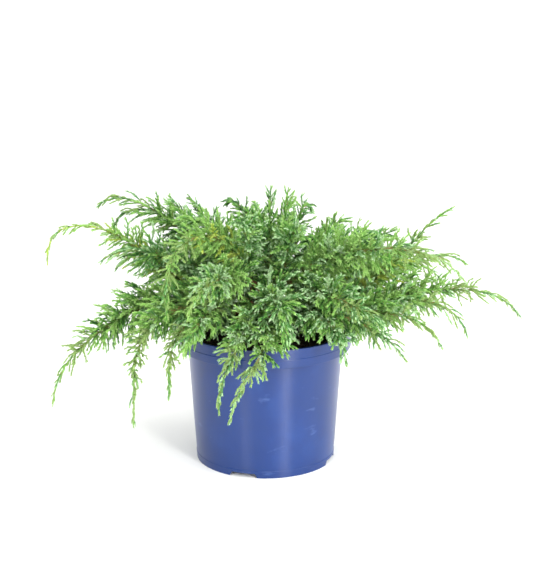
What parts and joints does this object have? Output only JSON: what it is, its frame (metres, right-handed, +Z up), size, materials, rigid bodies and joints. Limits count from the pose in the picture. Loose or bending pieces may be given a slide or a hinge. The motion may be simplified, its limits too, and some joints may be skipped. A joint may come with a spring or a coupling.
{
  "type": "potted juniper",
  "caption": "Low, wide-spreading juniper with nodding needle-clad shoots in a round blue nursery pot filled with compost.",
  "frame": {"origin": "centre of the pot's underside, on the ground it stands on", "axes": "+Z up, +X to the right and -Y towards the viewer as the plant is pictured"},
  "size_m": [0.5131, 0.361, 0.3028],
  "materials": {
    "pot": "satin moulded polypropylene, blue",
    "compost": "moist dark brown potting compost",
    "bark": "thin flaky brown bark",
    "foliage_blue": "grey-blue juniper needles",
    "foliage_green": "mid-green juniper needles",
    "foliage_fresh": "light fresh green needles",
    "foliage_gold": "yellow-green shoot tips"
  },
  "bodies": {
    "root": {"pot": "pot", "potting_compost": "compost", "stem": "bark", "bough_right": "bark", "bough_back_right": "bark", "bough_back": "bark", "bough_back_left": "bark", "bough_left": "bark", "bough_front_left": "bark", "bough_front": "bark", "bough_front_right": "bark", "bough_upper_right": "bark", "bough_upper_back": "bark", "bough_upper_left": "bark", "bough_upper_front_left": "bark", "bough_upper_front_right": "bark", "foliage_right_1": "foliage_green", "foliage_right_2": "foliage_gold", "foliage_right_3": "foliage_green", "foliage_back_right_1": "foliage_green", "foliage_back_right_2": "foliage_blue", "foliage_back_right_3": "foliage_green", "foliage_back_1": "foliage_blue", "foliage_back_2": "foliage_green", "foliage_back_3": "foliage_blue", "foliage_back_left_1": "foliage_green", "foliage_back_left_2": "foliage_blue", "foliage_back_left_3": "foliage_blue", "foliage_left_1": "foliage_gold", "foliage_left_2": "foliage_blue", "foliage_left_3": "foliage_green", "foliage_front_left_1": "foliage_green", "foliage_front_left_2": "foliage_green", "foliage_front_left_3": "foliage_fresh", "foliage_front_1": "foliage_fresh", "foliage_front_2": "foliage_fresh", "foliage_front_3": "foliage_blue", "foliage_front_right_1": "foliage_blue", "foliage_front_right_2": "foliage_blue", "foliage_front_right_3": "foliage_green", "foliage_front_right_4": "foliage_green", "foliage_upper_right_1": "foliage_green", "foliage_upper_right_2": "foliage_green", "foliage_upper_right_3": "foliage_blue", "foliage_upper_back_1": "foliage_blue", "foliage_upper_back_2": "foliage_green", "foliage_upper_back_3": "foliage_blue", "foliage_upper_left_1": "foliage_blue", "foliage_upper_left_2": "foliage_green", "foliage_upper_left_3": "foliage_blue", "foliage_upper_front_left_1": "foliage_green", "foliage_upper_front_left_2": "foliage_gold", "foliage_upper_front_left_3": "foliage_fresh", "foliage_upper_front_left_4": "foliage_blue", "foliage_upper_front_right_1": "foliage_blue", "foliage_upper_front_right_2": "foliage_blue", "foliage_upper_front_right_3": "foliage_green", "foliage_top_1": "foliage_green", "foliage_top_2": "foliage_fresh"}
  },
  "joints": []
}
